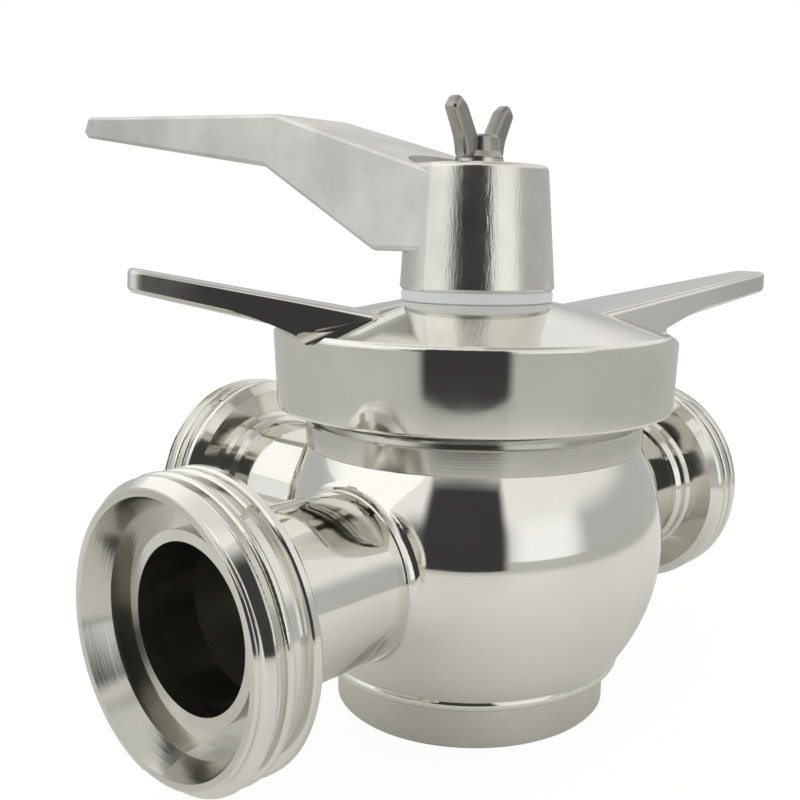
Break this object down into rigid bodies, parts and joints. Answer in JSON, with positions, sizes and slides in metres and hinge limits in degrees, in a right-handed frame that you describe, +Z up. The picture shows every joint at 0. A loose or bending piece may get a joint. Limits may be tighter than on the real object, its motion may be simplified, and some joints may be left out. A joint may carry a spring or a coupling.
{
  "type": "three way valve",
  "caption": "Sanitary stainless three way plug valve with a cranked lever, a wing bolt, an armed cap nut and round-thread male unions in a T.",
  "frame": {"origin": "on the stem axis at the underside of the foot", "axes": "+Z up along the stem; the run goes along X, front port at -X; the branch leaves at +Y"},
  "size_m": [0.1966, 0.2441, 0.1643],
  "materials": {
    "polished_steel": "polished",
    "satin_steel": "satin",
    "turned_steel": "turned",
    "cast_steel": "satin",
    "white_ptfe": "satin",
    "black_rubber": "matte"
  },
  "bodies": {
    "valve_body": {"body_shell": "polished_steel", "neck_ring": "satin_steel", "foot_ring": "satin_steel", "foot_plate": "satin_steel", "front_tube": "polished_steel", "rear_tube": "polished_steel", "branch_tube": "polished_steel", "front_union": "polished_steel", "rear_union": "polished_steel", "branch_union": "polished_steel", "body_gasket": "black_rubber"},
    "gland": {"gland_ring": "turned_steel", "packing_ring": "white_ptfe"},
    "cap_nut": {"cap_nut": "polished_steel"},
    "rotor": {"plug": "turned_steel", "lower_stem_seal": "black_rubber", "upper_stem_seal": "black_rubber", "lever_handle": "cast_steel", "handle_washer": "white_ptfe"},
    "bolt_washer": {"lock_washer": "turned_steel"},
    "wing_bolt": {"wing_bolt": "cast_steel"}
  },
  "joints": [
    {"name": "cap_rise", "type": "slide", "parent": "valve_body", "child": "gland", "axis": [0, 0, 1], "range_m": [0, 0.0106]},
    {"name": "cap_turn", "type": "hinge", "parent": "gland", "child": "cap_nut", "pos_m": [0, 0, 0.09], "axis": [0, 0, 1], "range_deg": [0, 900]},
    {"name": "handle_turn", "type": "hinge", "parent": "gland", "child": "rotor", "pos_m": [0, 0, 0.125], "axis": [0, 0, 1], "continuous": true},
    {"name": "bolt_rise", "type": "slide", "parent": "rotor", "child": "bolt_washer", "axis": [0, 0, 1], "range_m": [0, 0.01252]},
    {"name": "bolt_turn", "type": "hinge", "parent": "bolt_washer", "child": "wing_bolt", "pos_m": [0, 0, 0.146], "axis": [0, 0, 1], "range_deg": [0, 3600]}
  ],
  "couplings": [
    {"joint": "cap_rise", "follows": "cap_turn", "m_per_rad": 0.00067376},
    {"joint": "bolt_rise", "follows": "bolt_turn", "m_per_rad": 0.00019894}
  ]
}
